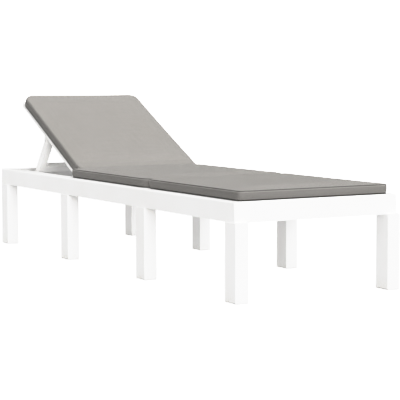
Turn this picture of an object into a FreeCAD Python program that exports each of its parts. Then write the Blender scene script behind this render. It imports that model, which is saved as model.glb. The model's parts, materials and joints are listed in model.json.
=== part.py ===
import FreeCAD, Part
import math
import os
import re
import Sketcher

# Reclining sun lounger in white moulded plastic: a low rail frame on eight plug-in legs, two slatted
# decks, a hinged slatted backrest held up by a strut, and a three-panel cushion.
#
# Frame of the part, in millimetres: +X to the right, +Y to the head end, +Z up. The origin is on the
# ground, under the middle of the lounger. "foot" and "head" name the ends, "left" is -X.

SIZES = [
    ("overall_length", 1930, "front faces of the foot legs to the head end"),
    ("frame_width", 625, "over the side rails"),
    ("deck_top", 316.5, "top of the rails and decks above the ground"),
    ("rail_height", 65, "apron height of every rail"),
    ("rail_width", 52.5, "top face of a rail, outer edge to inner wall"),
    ("rail_wall", 3.5, "wall of the hollow rails and beams"),
    ("end_lean", 4, "how far an end rail's face leans out at its lower edge"),
    ("rail_round", 5, "rounding along the rails' outer top edges"),
    ("head_rail_depth", 27, "head rail, its outer lower edge to its inner wall"),
    ("foot_inset", 13, "foot rail's lower edge behind the front faces of the foot legs"),
    ("foot_module", 640, "foot rail's lower edge to the seam between the two rail lengths"),
    ("shelf_reach", 12, "ledge that carries the decks, out from the rail's inner wall"),
    ("shelf_thick", 4, "thickness of that ledge"),
    ("deck_thick", 24, "depth of a deck moulding"),
    ("deck_skin", 5, "thickness of the slats"),
    ("deck_gap", 0.5, "fitting gap between a deck and what surrounds it"),
    ("slat_slot", 8, "open slot between two slats"),
    ("slot_end", 8, "web left between a slot's end and the ribs beside it"),
    ("rib", 4, "stiffening ribs under decks and backrest"),
    ("beam_width", 50, "cross beams, along the lounger"),
    ("leg_across", 47, "leg section across the lounger"),
    ("leg_along", 68, "leg section along the lounger"),
    ("leg_round", 2.5, "rounding of a leg's upright edges"),
    ("leg_proud", 4, "leg's outer face outside the side rail"),
    ("leg_wall", 3, "wall of the hollow legs"),
    ("leg_two", 606.5, "front face of the second leg pair behind the first"),
    ("leg_three", 1243, "front face of the third leg pair behind the first"),
    ("leg_four", 1853.5, "front face of the head leg pair behind the first"),
    ("pad_thick", 4, "foot pad under a leg"),
    ("pad_inset", 1, "how far its edge stands in from the leg's"),
    ("pad_plug", 12, "height of its plug inside the leg"),
    ("spigot_inset", 10, "plug on top of a leg, outside the leg's inner face"),
    ("spigot_across", 26, "that plug, across the lounger"),
    ("spigot_rise", 44, "height of that plug"),
    ("socket_fit", 0.3, "gap round a plug in its socket"),
    ("hinge_back", 1269.5, "backrest hinge behind the front faces of the foot legs"),
    ("hinge_height", 302.5, "backrest hinge above the ground"),
    ("hinge_across", 190, "middle of a hinge knuckle from the centre line"),
    ("knuckle_round", 9, "outer radius of a hinge knuckle"),
    ("knuckle_width", 22, "width of a hinge knuckle"),
    ("ear_thick", 6, "bracket ears beside a knuckle or strut arm"),
    ("ear_above", 8, "top of a hinge bracket's ears above the hinge axis"),
    ("ear_bevel", 5, "bevel of those ears' upper corners"),
    ("outer_ear", 4, "outer ear of a strut bracket"),
    ("ear_foot", 14, "half the width of a strut bracket's ear where it meets the base"),
    ("bracket_tail", 52, "strut bracket's base, towards the hinge from the strut's pivot"),
    ("arm_play", 0.7, "gap between a strut arm and an ear"),
    ("bracket_reach", 27, "hinge bracket's base, towards the head from the hinge axis"),
    ("pin_round", 4, "radius of the hinge and strut pins"),
    ("pin_play", 0.06, "radial running clearance on those pins"),
    ("rest_angle", 26.9, "backrest above level at rest"),
    ("panel_rise", 14, "backrest's upper face above the hinge axis, lying flat"),
    ("panel_thick", 17, "thickness of the backrest moulding"),
    ("panel_skin", 5, "thickness of its slats"),
    ("panel_start", 13, "lower end of the backrest beyond the hinge axis"),
    ("panel_length", 631, "upper end of the backrest beyond the hinge axis"),
    ("panel_width", 510, "width of the backrest"),
    ("panel_corner", 12, "rounding of its upper corners, seen from above"),
    ("pivot_along", 358, "strut pivot beyond the hinge axis"),
    ("pivot_below", 22, "strut pivot under the hinge axis, backrest lying flat"),
    ("strut_angle", 79, "strut below the backrest's own plane, at rest"),
    ("strut_length", 205, "strut pivot to the middle of its foot"),
    ("strut_depth", 28, "strut arm, front to back"),
    ("strut_across", 29, "strut arm, side to side"),
    ("strut_half", 248, "outer face of a strut arm from the centre line"),
    ("crossbar_along", 144.5, "strut pivot to the middle of the crossbar"),
    ("crossbar_deep", 30, "crossbar's size along the strut"),
    ("tenon_step", 5, "crossbar's tenons, inside its faces all round"),
    ("tenon_reach", 18, "length of a tenon"),
    ("tenon_fit", 0.15, "gap round a tenon in its arm"),
    ("rack_width", 43, "notched rack, out from the rail's inner wall"),
    ("cushion_width", 573, "foot and seat cushion panels"),
    ("cushion_thick", 35, "foot and seat cushion panels"),
    ("cushion_start", 25, "cushion's foot end behind the front faces of the foot legs"),
    ("cushion_split", 628.5, "joint between foot and seat cushion, from the same faces"),
    ("split_gap", 1, "each of those two panels' distance from that joint"),
    ("hinge_gap", 4, "seat cushion's distance from the backrest hinge"),
    ("cushion_corner", 16, "rounding of the foot cushion's corners, seen from above"),
    ("back_width", 519, "back cushion panel"),
    ("back_corner", 34, "rounding of its upper corners"),
    ("back_thick", 38, "back cushion panel"),
    ("back_start", 30, "lower end of the back cushion beyond the hinge axis"),
    ("back_end", 611, "upper end of the back cushion beyond the hinge axis"),
    ("screw_round", 2.5, "radius of a screw's shank"),
    ("screw_head", 5, "radius of a screw's head"),
    ("screw_rise", 3, "height of a screw's head"),
    ("screw_play", 0.1, "radial gap round a screw"),
]

# Backrest angles of the three notches, steepest first. The first is the rest position.
NOTCH_ANGLES = (26.9, 20.0, 13.0)
FOLDED_GAP = 0.8
PASSING_GAP = 0.8

ALIASES = {alias for alias, value, note in SIZES}
doc = FreeCAD.newDocument("sun_lounger")
sheet = doc.addObject("Spreadsheet::Sheet", "Sizes")
for row, (alias, value, note) in enumerate(SIZES, start=1):
    sheet.set(f"A{row}", alias)
    sheet.set(f"B{row}", str(value))
    sheet.set(f"C{row}", note)
    sheet.setAlias(f"B{row}", alias)
doc.recompute()

# Places that several pieces share, as formulas of the driving dimensions.
FRONT = "(-overall_length / 2)"
HEAD_END = "(overall_length / 2)"
RAIL_LOW = "(deck_top - rail_height)"
FOOT_LOW = f"({FRONT} + foot_inset)"
SEAM = f"({FOOT_LOW} + foot_module)"
HALF = "(frame_width / 2)"
INNER = f"({HALF} - rail_width)"
FOOT_INNER = f"({FOOT_LOW} + rail_width)"
HEAD_INNER = f"({HEAD_END} - head_rail_depth)"
SHELF_TOP = "(deck_top - deck_thick)"
HINGE_Y = f"({FRONT} + hinge_back)"
PIVOT_Y = f"({HINGE_Y} + pivot_along * cos(rest_angle) + pivot_below * sin(rest_angle))"
PIVOT_Z = "(hinge_height + pivot_along * sin(rest_angle) - pivot_below * cos(rest_angle))"
DECK_REAR = f"({HINGE_Y} - 13)"

nodes = []


def expression(formula):
    """The formula with each driving dimension written as a reference to its cell."""
    return re.sub(r"[a-z_]+", lambda m: "Sizes." + m[0] if m[0] in ALIASES else m[0], str(formula))


def worth(formula):
    """The formula's value, for the few shapes that are worked out in code."""
    values = {alias: float(sheet.get(alias)) for alias in ALIASES}
    text = re.sub(r"[a-z_]+", lambda m: repr(values[m[0]]) if m[0] in values else m[0], str(formula))
    probe = doc.getObject("Probe") or doc.addObject("App::FeaturePython", "Probe")
    if "amount" not in probe.PropertiesList:
        probe.addProperty("App::PropertyFloat", "amount")
    probe.setExpression("amount", text)
    probe.recompute()
    return probe.amount


def bind(thing, **formulas):
    """Binds properties to formulas; a double underscore in a name stands for a dot."""
    for name, formula in formulas.items():
        thing.setExpression(name.replace("__", "."), expression(formula))


def place(thing, x=0, y=0, z=0, tilt=None):
    """Places a piece; tilt turns it about the X axis, in degrees."""
    if tilt is not None:
        thing.Placement = FreeCAD.Placement(
            FreeCAD.Vector(), FreeCAD.Rotation(FreeCAD.Vector(1, 0, 0), 1)
        )
        bind(thing, Placement__Rotation__Angle=tilt)
    bind(thing, Placement__Base__x=x, Placement__Base__y=y, Placement__Base__z=z)
    return thing


def on_backrest(thing):
    """Places a piece that is drawn with the backrest lying flat and its hinge axis at the origin."""
    return place(thing, y=HINGE_Y, z="hinge_height", tilt="rest_angle")


def on_strut(thing):
    """Places a piece that is drawn with the strut's pivot at the origin and its foot along +Y."""
    return place(thing, y=PIVOT_Y, z=PIVOT_Z, tilt="rest_angle - strut_angle")


def keep(thing, label):
    """Makes a finished object one of the lounger's pieces."""
    thing.Label = label
    nodes.append(thing)
    return thing


# ---- sketches and features -------------------------------------------------------------------------


def new_body(name):
    return doc.addObject("PartDesign::Body", name)


def sketch_on(body, plane, start):
    """A sketch on one of the body's own planes, moved to `start` along X, Y or Z."""
    sketch = body.newObject("Sketcher::SketchObject", f"{body.Name}_sketch")
    origin_plane = [f for f in body.Origin.OriginFeatures if f.Role == f"{plane}_Plane"][0]
    sketch.AttachmentSupport = [(origin_plane, "")]
    sketch.MapMode = "FlatFace"
    shift = f"-({start})" if plane == "XZ" else start
    bind(sketch, AttachmentOffset__Base__z=shift)
    return sketch


def fix_point(sketch, geometry, point, x, y):
    """Holds a sketch point at the place that two formulas give."""
    for direction, formula in (("DistanceX", x), ("DistanceY", y)):
        constraint = Sketcher.Constraint(direction, -1, 1, geometry, point, worth(formula))
        index = sketch.addConstraint(constraint)
        sketch.setExpression(f"Constraints[{index}]", expression(formula))


def draw_outline(sketch, corners):
    """A closed outline of straight lines through corners given as formulas."""
    places = [FreeCAD.Vector(worth(x), worth(y), 0) for x, y in corners]
    first = sketch.GeometryCount
    count = len(places)
    for i in range(count):
        sketch.addGeometry(Part.LineSegment(places[i], places[(i + 1) % count]), False)
    for i in range(count):
        following = first + (i + 1) % count
        sketch.addConstraint(Sketcher.Constraint("Coincident", first + i, 2, following, 1))
        fix_point(sketch, first + i, 1, *corners[i])


def draw_circle(sketch, x, y, radius):
    middle = FreeCAD.Vector(worth(x), worth(y), 0)
    circle = Part.Circle(middle, FreeCAD.Vector(0, 0, 1), worth(radius))
    index = sketch.addGeometry(circle, False)
    fix_point(sketch, index, 3, x, y)
    size = sketch.addConstraint(Sketcher.Constraint("Radius", index, worth(radius)))
    sketch.setExpression(f"Constraints[{size}]", expression(radius))


def rectangle(low_x, low_y, high_x, high_y):
    return [(low_x, low_y), (high_x, low_y), (high_x, high_y), (low_x, high_y)]


def extrude(body, kind, plane, start, length, outlines=(), circles=()):
    """Pads or pockets outlines and circles from `start` over `length`, towards +X, +Y or +Z."""
    sketch = sketch_on(body, plane, start)
    for corners in outlines:
        draw_outline(sketch, corners)
    for circle in circles:
        draw_circle(sketch, *circle)
    doc.recompute()
    before = body.Shape.Volume if body.Tip else 0
    feature = body.newObject(f"PartDesign::{kind}", f"{body.Name}_{kind}")
    feature.Profile = sketch
    bind(feature, Length=length)
    feature.Reversed = (kind == "Pad") == (plane == "XZ")
    doc.recompute()
    change = body.Shape.Volume - before
    if (change <= 0) == (kind == "Pad"):
        raise ValueError(f"{feature.Name} changes nothing")
    return feature


def pad(body, plane, start, length, *outlines, circles=()):
    return extrude(body, "Pad", plane, start, length, outlines, circles)


def pocket(body, plane, start, length, *outlines, circles=()):
    return extrude(body, "Pocket", plane, start, length, outlines, circles)


def repeat(body, feature, axis, step, times):
    """Repeats a feature `times` times, `step` apart, along one of the body's axes."""
    pattern = body.newObject("PartDesign::LinearPattern", f"{body.Name}_row")
    origin_axis = [f for f in body.Origin.OriginFeatures if f.Role == f"{axis}_Axis"][0]
    pattern.Originals = [feature]
    pattern.Direction = (origin_axis, [""])
    pattern.Occurrences = times
    bind(pattern, Length=f"({step}) * {times - 1}")
    before = feature.Shape.Volume
    body.Tip = pattern
    doc.recompute()
    if abs(body.Shape.Volume - before) < 1:
        raise ValueError(f"{pattern.Name} repeats nothing")
    return pattern


def round_edges(body, radius, wanted):
    """Fillets the edges of the body that `wanted` picks."""
    base = body.Tip
    picked = [f"Edge{i}" for i, edge in enumerate(base.Shape.Edges, start=1) if wanted(edge)]
    fillet = body.newObject("PartDesign::Fillet", f"{body.Name}_round")
    fillet.Base = (base, picked)
    bind(fillet, Radius=radius)
    doc.recompute()
    if not picked or "Invalid" in fillet.State:
        raise ValueError(f"{fillet.Name} rounds nothing")
    return fillet


def runs_along(edge, axis):
    """Whether a straight edge runs along axis 0, 1 or 2."""
    if not isinstance(edge.Curve, Part.Line):
        return False
    return abs(edge.Curve.Direction[axis]) > 0.999


def lies_at(edge, **places):
    """Whether an edge's middle has the given coordinates, to a hundredth of a millimetre."""
    middle = edge.CenterOfMass
    return all(abs(getattr(middle, axis) - value) < 0.01 for axis, value in places.items())


def mirrored(source, label):
    """The same piece for the left side."""
    copy = doc.addObject("Part::Mirroring", label)
    copy.Source = source
    copy.Base = FreeCAD.Vector()
    copy.Normal = FreeCAD.Vector(1, 0, 0)
    doc.recompute()
    return keep(copy, label)


def pair(source, name):
    """Keeps a right-hand piece and its mirror image."""
    keep(source, f"{name}_right")
    mirrored(source, f"{name}_left")


def cut(name, base, tool):
    result = doc.addObject("Part::Cut", name)
    result.Base = base
    result.Tool = tool
    doc.recompute()
    return result


# ---- rails -------------------------------------------------------------------------------------------


def mitre_block(name, at_head, drop_corner):
    """A block that cuts a rail end along the mitre at a right-hand corner.

    The mitre plane holds the leaning corner edge and the top of the inner corner. The block lies on the
    end rail's side of that plane, or on the side rail's side when drop_corner is False.
    """
    way = 1 if at_head else -1
    corner = FreeCAD.Vector(worth(HALF), worth(HEAD_END if at_head else FOOT_LOW), worth(RAIL_LOW))
    rise = FreeCAD.Vector(0, -way * worth("end_lean"), worth("rail_height"))
    inner_y = worth(HEAD_INNER if at_head else FOOT_INNER)
    inward = FreeCAD.Vector(worth(INNER), inner_y, worth("deck_top")) - corner - rise
    inward.normalize()
    across = inward.cross(rise)
    across.normalize()
    towards_end = across if across.y * way > 0 else across * -1
    out = towards_end if drop_corner else towards_end * -1
    upright = out.cross(inward)
    turn = FreeCAD.Rotation(inward, upright, out, "ZXY")
    size = 400
    block = doc.addObject("Part::Box", name)
    block.Length = block.Width = block.Height = size
    base = corner - inward * (size / 2) - upright * (size / 2)
    block.Placement = FreeCAD.Placement(base, turn)
    doc.recompute()
    return block


SCREW_HOLE = "screw_round + screw_play"
ACCESS_HOLE = "screw_head + 0.5"
LEG_SCREW_Z = f"({RAIL_LOW} + 20)"

# Each leg pair: its front face, and where its plug starts behind that face and how long the plug is.
LEGS = {
    "foot": (f"({FRONT})", 34, 22),
    "seam": (f"({FRONT} + leg_two)", 12, 40),
    "hinge": (f"({FRONT} + leg_three)", 12, 40),
    "head": (f"({FRONT} + leg_four)", 10, 30),
}


def spigot_middle(leg):
    front, behind, along = LEGS[leg]
    return f"({front} + {behind} + {along / 2})"


def side_rail(name, start, length, shelf_end, legs, screws):
    """A right-hand side rail: a channel open below, with a ledge for the deck and its screw holes.

    A leg's locking screw sits on the socket inside the rail, behind an access hole.
    """
    body = new_body(name)
    top = "deck_top"
    pad(body, "XZ", start, length, rectangle(INNER, RAIL_LOW, HALF, top))
    corner = {"x": worth(HALF), "z": worth(top)}
    round_edges(body, "rail_round", lambda e: runs_along(e, 1) and lies_at(e, **corner))
    hollow = rectangle(f"{INNER} + rail_wall", RAIL_LOW, f"{HALF} - rail_wall", f"{top} - rail_wall")
    pocket(body, "XZ", start, length, hollow)
    shelf = rectangle(f"{INNER} - shelf_reach", f"{SHELF_TOP} - shelf_thick", INNER, SHELF_TOP)
    pad(body, "XZ", start, f"{shelf_end} - ({start})", shelf)
    holes = [(spigot_middle(leg), LEG_SCREW_Z, ACCESS_HOLE) for leg in legs]
    holes += [(y, z, SCREW_HOLE) for y, z in screws]
    pocket(body, "YZ", f"{INNER} - 1", "rail_wall + 2", circles=holes)
    return body


BEAM_TOP = f"({SHELF_TOP} - shelf_thick - deck_gap)"
HINGE_BEAM_TOP = f"({SHELF_TOP} - 10)"
HINGE_BEAM_Y = f"({HINGE_Y} + 6)"
SEAM_BEAM_Y = f"({SEAM} + 28)"
BEAM_SCREW_STEP = 15
BEAM_SCREW_Z = f"({RAIL_LOW} + 19)"


def beam_screw_places(middle):
    return [(f"{middle} - {BEAM_SCREW_STEP}", BEAM_SCREW_Z), (f"{middle} + {BEAM_SCREW_STEP}", BEAM_SCREW_Z)]


RACK_SCREW_Z = f"({RAIL_LOW} + 7)"
RACK_START = f"({HINGE_Y} + 425)"
RACK_END = f"({HINGE_Y} + 565)"
RACK_SCREWS = [(f"{RACK_START} + 10", RACK_SCREW_Z), (f"{RACK_END} - 8", RACK_SCREW_Z)]

foot_side = side_rail("foot_side_rail", FOOT_LOW, "foot_module", SEAM, ["seam"], [])
head_side = side_rail(
    "head_side_rail",
    SEAM,
    f"{HEAD_END} - {SEAM}",
    DECK_REAR,
    ["hinge", "head"],
    beam_screw_places(SEAM_BEAM_Y) + beam_screw_places(HINGE_BEAM_Y) + RACK_SCREWS,
)
pair(cut("foot_side_rail_mitred", foot_side, mitre_block("foot_mitre_out", False, True)), "foot_side_rail")
pair(cut("head_side_rail_mitred", head_side, mitre_block("head_mitre_out", True, True)), "head_side_rail")


def end_rail(name, at_head):
    """An end rail with a leaning face, mitred at both corners, with a ledge along its inner wall."""
    body = new_body(f"{name}_channel")
    way = "" if at_head else "-"
    low = HEAD_END if at_head else f"-{FOOT_LOW}"
    inner = HEAD_INNER if at_head else f"-{FOOT_INNER}"
    section = [
        (f"{way}({inner})", RAIL_LOW),
        (f"{way}({low})", RAIL_LOW),
        (f"{way}({low} - end_lean)", "deck_top"),
        (f"{way}({inner})", "deck_top"),
    ]
    hollow = [
        (f"{way}({inner} + rail_wall)", RAIL_LOW),
        (f"{way}({low} - rail_wall)", RAIL_LOW),
        (f"{way}({low} - end_lean - rail_wall)", "deck_top - rail_wall"),
        (f"{way}({inner} + rail_wall)", "deck_top - rail_wall"),
    ]
    pad(body, "YZ", f"-{HALF}", "frame_width", section)
    edge = {"y": worth(f"{way}({low} - end_lean)"), "z": worth("deck_top")}
    round_edges(body, "rail_round", lambda e: runs_along(e, 0) and lies_at(e, **edge))
    pocket(body, "YZ", f"-{HALF}", "frame_width", hollow)
    shelf_top = "(hinge_height + panel_rise - panel_thick - 1)" if at_head else SHELF_TOP
    lip = rectangle(f"{way}({inner} - shelf_reach)", f"{shelf_top} - shelf_thick", f"{way}({inner})", shelf_top)
    pad(body, "YZ", f"-({INNER} - 60)", f"2 * ({INNER} - 60)", lip)
    right = mitre_block(f"{name}_mitre_right", at_head, False)
    left = doc.addObject("Part::Mirroring", f"{name}_mitre_left")
    left.Source = right
    left.Normal = FreeCAD.Vector(1, 0, 0)
    doc.recompute()
    return keep(cut(f"{name}_mitred", cut(f"{name}_half", body, right), left), name)


end_rail("foot_rail", False)
end_rail("head_rail", True)

# ---- cross beams ---------------------------------------------------------------------------------------


def cross_beam(name, middle, top):
    """A channel between the side rails, open below, with holes for its screws at both ends."""
    body = new_body(name)
    end = f"({INNER} - deck_gap)"
    low_y = f"({middle} - beam_width / 2)"
    high_y = f"({middle} + beam_width / 2)"
    wall = "rail_wall"
    pad(body, "XY", RAIL_LOW, f"{top} - {RAIL_LOW}", rectangle(f"-{end}", low_y, end, high_y))
    inside = rectangle(f"-{end} + {wall}", f"{low_y} + {wall}", f"{end} - {wall}", f"{high_y} - {wall}")
    pocket(body, "XY", RAIL_LOW, f"{top} - {RAIL_LOW} - {wall}", inside)
    holes = [(y, z, SCREW_HOLE) for y, z in beam_screw_places(middle)]
    pocket(body, "YZ", f"-{end} - 1", f"2 * {end} + 2", circles=holes)
    return body


seam_beam = cross_beam("seam_beam", SEAM_BEAM_Y, BEAM_TOP)
crown_half = f"({INNER} - shelf_reach - deck_gap)"
crown = rectangle(f"-{crown_half}", f"{SEAM_BEAM_Y} - 15", crown_half, f"{SEAM_BEAM_Y} + 15")
pad(seam_beam, "XY", BEAM_TOP, "shelf_thick + deck_gap", crown)
keep(seam_beam, "seam_beam")

hinge_beam = cross_beam("hinge_beam", HINGE_BEAM_Y, HINGE_BEAM_TOP)
leg_access = (spigot_middle("hinge"), LEG_SCREW_Z, ACCESS_HOLE)
pocket(hinge_beam, "YZ", f"-{INNER}", f"2 * {INNER}", circles=[leg_access])
HINGE_SCREW_X = ("hinge_across - 8", "hinge_across + 8")
HINGE_SCREW_Y = f"({HINGE_Y} + 19)"
bracket_holes = [(f"{side} * ({x})", HINGE_SCREW_Y, SCREW_HOLE) for side in (-1, 1) for x in HINGE_SCREW_X]
pocket(hinge_beam, "XY", f"{HINGE_BEAM_TOP} - rail_wall", "rail_wall", circles=bracket_holes)
keep(hinge_beam, "hinge_beam")

# ---- slatted mouldings -----------------------------------------------------------------------------------


def slatted_panel(name, half_width, low_y, high_y, top, thick, skin, rows, border):
    """A moulded panel: a skin of slats across it, a rim, and ribs underneath."""
    body = new_body(name)
    low_z = f"({top} - {thick})"
    pad(body, "XY", low_z, thick, rectangle(f"-({half_width})", low_y, half_width, high_y))
    cell_step = f"((({high_y}) - ({low_y}) - 2 * {border} + rib) / {rows})"
    columns = 3
    column_step = f"((2 * ({half_width}) - 2 * {border} + rib) / {columns})"
    cells = []
    slots = []
    first_y = f"({low_y} + {border})"
    for i in range(columns):
        left = f"(-({half_width}) + {border} + {i} * {column_step})"
        right = f"({left} + {column_step} - rib)"
        cells.append(rectangle(left, first_y, right, f"{first_y} + {cell_step} - rib"))
        slot_left = f"{left} + slot_end"
        slot_right = f"{right} - slot_end"
        middle = f"({first_y} + ({cell_step} - rib) / 2)"
        half_slot = "slat_slot / 2"
        slots.append(rectangle(slot_left, f"{middle} - {half_slot}", slot_right, f"{middle} + {half_slot}"))
    underside = pocket(body, "XY", low_z, f"{thick} - {skin}", *cells)
    repeat(body, underside, "Y", cell_step, rows)
    openings = pocket(body, "XY", f"{top} - {skin} - 1", f"{skin} + 2", *slots)
    repeat(body, openings, "Y", cell_step, rows)
    return body


DECK_HALF = f"({INNER} - deck_gap)"
foot_deck = slatted_panel(
    "foot_deck", DECK_HALF, f"{FOOT_INNER} + deck_gap", f"{SEAM_BEAM_Y} - deck_gap",
    "deck_top", "deck_thick", "deck_skin", 8, 14,
)
keep(foot_deck, "foot_deck")
seat_deck = slatted_panel(
    "seat_deck", DECK_HALF, f"{SEAM_BEAM_Y} + deck_gap", DECK_REAR,
    "deck_top", "deck_thick", "deck_skin", 8, 14,
)
keep(seat_deck, "seat_deck")

backrest = slatted_panel(
    "backrest_panel", "panel_width / 2", "panel_start", "panel_length",
    "panel_rise", "panel_thick", "panel_skin", 8, 20,
)
panel_end = worth("panel_length")
round_edges(backrest, "panel_corner", lambda e: runs_along(e, 2) and lies_at(e, y=panel_end))
KNUCKLE_LOW = "(hinge_across - knuckle_width / 2)"
for knuckle_x in (KNUCKLE_LOW, f"(-{KNUCKLE_LOW} - knuckle_width)"):
    barrel = ("0", "0", "knuckle_round")
    pad(backrest, "YZ", knuckle_x, "knuckle_width", circles=[barrel])
    web = rectangle("0", "-knuckle_round + 4", "panel_start + 12", "knuckle_round - 0.5")
    pad(backrest, "YZ", knuckle_x, "knuckle_width", web)
pin_hole = ("0", "0", "pin_round + pin_play")
pocket(backrest, "YZ", "-panel_width / 2", "panel_width", circles=[pin_hole])
UNDER_PANEL = "(panel_rise - panel_thick)"
STRUT_SCREW_X = "(panel_width / 2 - 12)"
STRUT_SCREW_Y = ("pivot_along - 33", "pivot_along - 44")
strut_holes = [(f"{side} * {STRUT_SCREW_X}", y, SCREW_HOLE) for side in (-1, 1) for y in STRUT_SCREW_Y]
pocket(backrest, "XY", UNDER_PANEL, 11, circles=strut_holes)
on_backrest(backrest)
keep(backrest, "backrest_panel")

# ---- legs ------------------------------------------------------------------------------------------------

LEG_OUT = f"({HALF} + leg_proud)"
LEG_IN = f"({LEG_OUT} - leg_across)"
SPIGOT_LOW_X = f"({LEG_IN} + spigot_inset)"
SOCKET_IN = f"({INNER} + rail_wall + screw_rise + 0.5)"


def leg_section(name, inset):
    """A right-hand leg's section, smaller by an inset on each side."""
    front = LEGS[name][0]
    rear = f"({front} + leg_along)"
    return rectangle(f"{LEG_IN} + {inset}", f"{front} + {inset}", f"{LEG_OUT} - {inset}", f"{rear} - {inset}")


def leg(name):
    """A right-hand leg: a hollow post with a solid plug on top, drilled for its locking screw."""
    front, behind, along = LEGS[name]
    body = new_body(f"leg_{name}")
    pad(body, "XY", "pad_thick", f"{RAIL_LOW} - pad_thick", leg_section(name, "0"))
    round_edges(body, "leg_round", lambda e: runs_along(e, 2))
    pocket(body, "XY", "pad_thick", f"{RAIL_LOW} - pad_thick - leg_wall", leg_section(name, "leg_wall"))
    plug = rectangle(SPIGOT_LOW_X, f"{front} + {behind}", f"{SPIGOT_LOW_X} + spigot_across",
                     f"{front} + {behind + along}")
    pad(body, "XY", RAIL_LOW, "spigot_rise", plug)
    hole = (spigot_middle(name), LEG_SCREW_Z, SCREW_HOLE)
    pocket(body, "YZ", f"{SPIGOT_LOW_X} - 1", 15, circles=[hole])
    return body


def socket(name):
    """A block inside the hollow rail that holds a leg's plug; at the seam it also joins two rails."""
    front, behind, along = LEGS[name]
    body = new_body(f"leg_socket_{name}")
    fit = "socket_fit"
    high_x = f"({HALF} - rail_wall - {fit})"
    low_y = f"({front} + {behind} - 5)"
    high_y = f"({front} + {behind + along} + 5)"
    if name == "seam":
        low_y = f"({SEAM} - 62)"
        high_y = f"({SEAM} + 62)"
    high_z = "(deck_top - rail_wall - 3)"
    block = rectangle(SOCKET_IN, low_y, high_x, high_y)
    pad(body, "XY", f"{RAIL_LOW} + 1", f"{high_z} - {RAIL_LOW} - 1", block)
    hole = rectangle(f"{SPIGOT_LOW_X} - {fit}", f"{front} + {behind} - {fit}",
                     f"{SPIGOT_LOW_X} + spigot_across + {fit}", f"{front} + {behind + along} + {fit}")
    pocket(body, "XY", RAIL_LOW, "spigot_rise + 1", hole)
    screw_hole = (spigot_middle(name), LEG_SCREW_Z, SCREW_HOLE)
    pocket(body, "YZ", f"{SOCKET_IN} - 1", 20, circles=[screw_hole])
    return body


for leg_name in LEGS:
    pair(leg(leg_name), f"leg_{leg_name}")
    pair(socket(leg_name), f"leg_socket_{leg_name}")


def foot_pad(name):
    """A pad that closes a leg from below, with a plug that grips inside the hollow leg."""
    body = new_body(f"pad_{name}")
    pad(body, "XY", 0, "pad_thick", leg_section(name, "pad_inset"))
    pad(body, "XY", "pad_thick", "pad_plug", leg_section(name, "(leg_wall + socket_fit)"))
    return body


def group(label, shapes):
    """Identical small pieces that share one node, each a solid of its own."""
    made = doc.addObject("Part::Feature", label)
    made.Shape = Part.makeCompound(shapes)
    return keep(made, label)


def both_sides(shapes):
    """The right-hand shapes and their mirror images."""
    left = [shape.mirror(FreeCAD.Vector(), FreeCAD.Vector(1, 0, 0)) for shape in shapes]
    return list(shapes) + left


def screw(length):
    """A pan-head screw: the head on +Z, the shank running down from the origin."""
    shank = Part.makeCylinder(worth("screw_round"), length, FreeCAD.Vector(0, 0, -length))
    head = Part.makeCylinder(worth("screw_head"), worth("screw_rise"))
    rim = [edge for edge in head.Edges if abs(edge.CenterOfMass.z - worth("screw_rise")) < 0.01]
    return shank.fuse(head.makeFillet(1.2, rim[:1])).removeSplitter()


def moved(shape, x, y, z, turn=None):
    """A copy of a shape, turned and then put in its place."""
    copy = shape.copy()
    copy.Placement = FreeCAD.Placement(FreeCAD.Vector(x, y, z), turn or FreeCAD.Rotation())
    return copy


TO_LEFT = FreeCAD.Rotation(FreeCAD.Vector(0, 1, 0), -90)
TO_RIGHT = FreeCAD.Rotation(FreeCAD.Vector(0, 1, 0), 90)
group("leg_pads", both_sides([foot_pad(name).Shape for name in LEGS]))
leg_screw = screw(24)
leg_screw_z = worth(LEG_SCREW_Z)
socket_x = worth(SOCKET_IN)
group("leg_screws", both_sides(
    [moved(leg_screw, socket_x, worth(spigot_middle(name)), leg_screw_z, TO_LEFT) for name in LEGS]
))
beam_places = beam_screw_places(SEAM_BEAM_Y) + beam_screw_places(HINGE_BEAM_Y)
wall_x = worth(f"{INNER} + rail_wall")
beam_screw = screw(12)
group("beam_screws", both_sides(
    [moved(beam_screw, wall_x, worth(y), worth(z), TO_RIGHT) for y, z in beam_places]
))

# ---- backrest hinge ------------------------------------------------------------------------------------

EAR_REACH = "(knuckle_width / 2 + 1 + ear_thick)"
BRACKET_BASE = 5


def hinge_bracket():
    """A right-hand bracket on the hinge beam: a base and two ears that carry the hinge pin."""
    body = new_body("hinge_bracket")
    low_x = f"(hinge_across - {EAR_REACH})"
    high_x = f"(hinge_across + {EAR_REACH})"
    base_top = f"({HINGE_BEAM_TOP} + {BRACKET_BASE})"
    base = rectangle(low_x, f"{HINGE_Y} - knuckle_round", high_x, f"{HINGE_Y} + bracket_reach")
    pad(body, "XY", HINGE_BEAM_TOP, BRACKET_BASE, base)
    shoulder = "hinge_height + ear_above - ear_bevel"
    tip = "(knuckle_round - ear_bevel)"
    ear = [
        (f"{HINGE_Y} - knuckle_round", base_top),
        (f"{HINGE_Y} + knuckle_round", base_top),
        (f"{HINGE_Y} + knuckle_round", shoulder),
        (f"{HINGE_Y} + {tip}", "hinge_height + ear_above"),
        (f"{HINGE_Y} - {tip}", "hinge_height + ear_above"),
        (f"{HINGE_Y} - knuckle_round", shoulder),
    ]
    pad(body, "YZ", low_x, "ear_thick", ear)
    pad(body, "YZ", f"{high_x} - ear_thick", "ear_thick", ear)
    bore = (HINGE_Y, "hinge_height", "pin_round")
    pocket(body, "YZ", f"{low_x} - 1", f"2 * {EAR_REACH} + 2", circles=[bore])
    holes = [(x, HINGE_SCREW_Y, SCREW_HOLE) for x in HINGE_SCREW_X]
    pocket(body, "XY", HINGE_BEAM_TOP, BRACKET_BASE, circles=holes)
    return body


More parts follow.
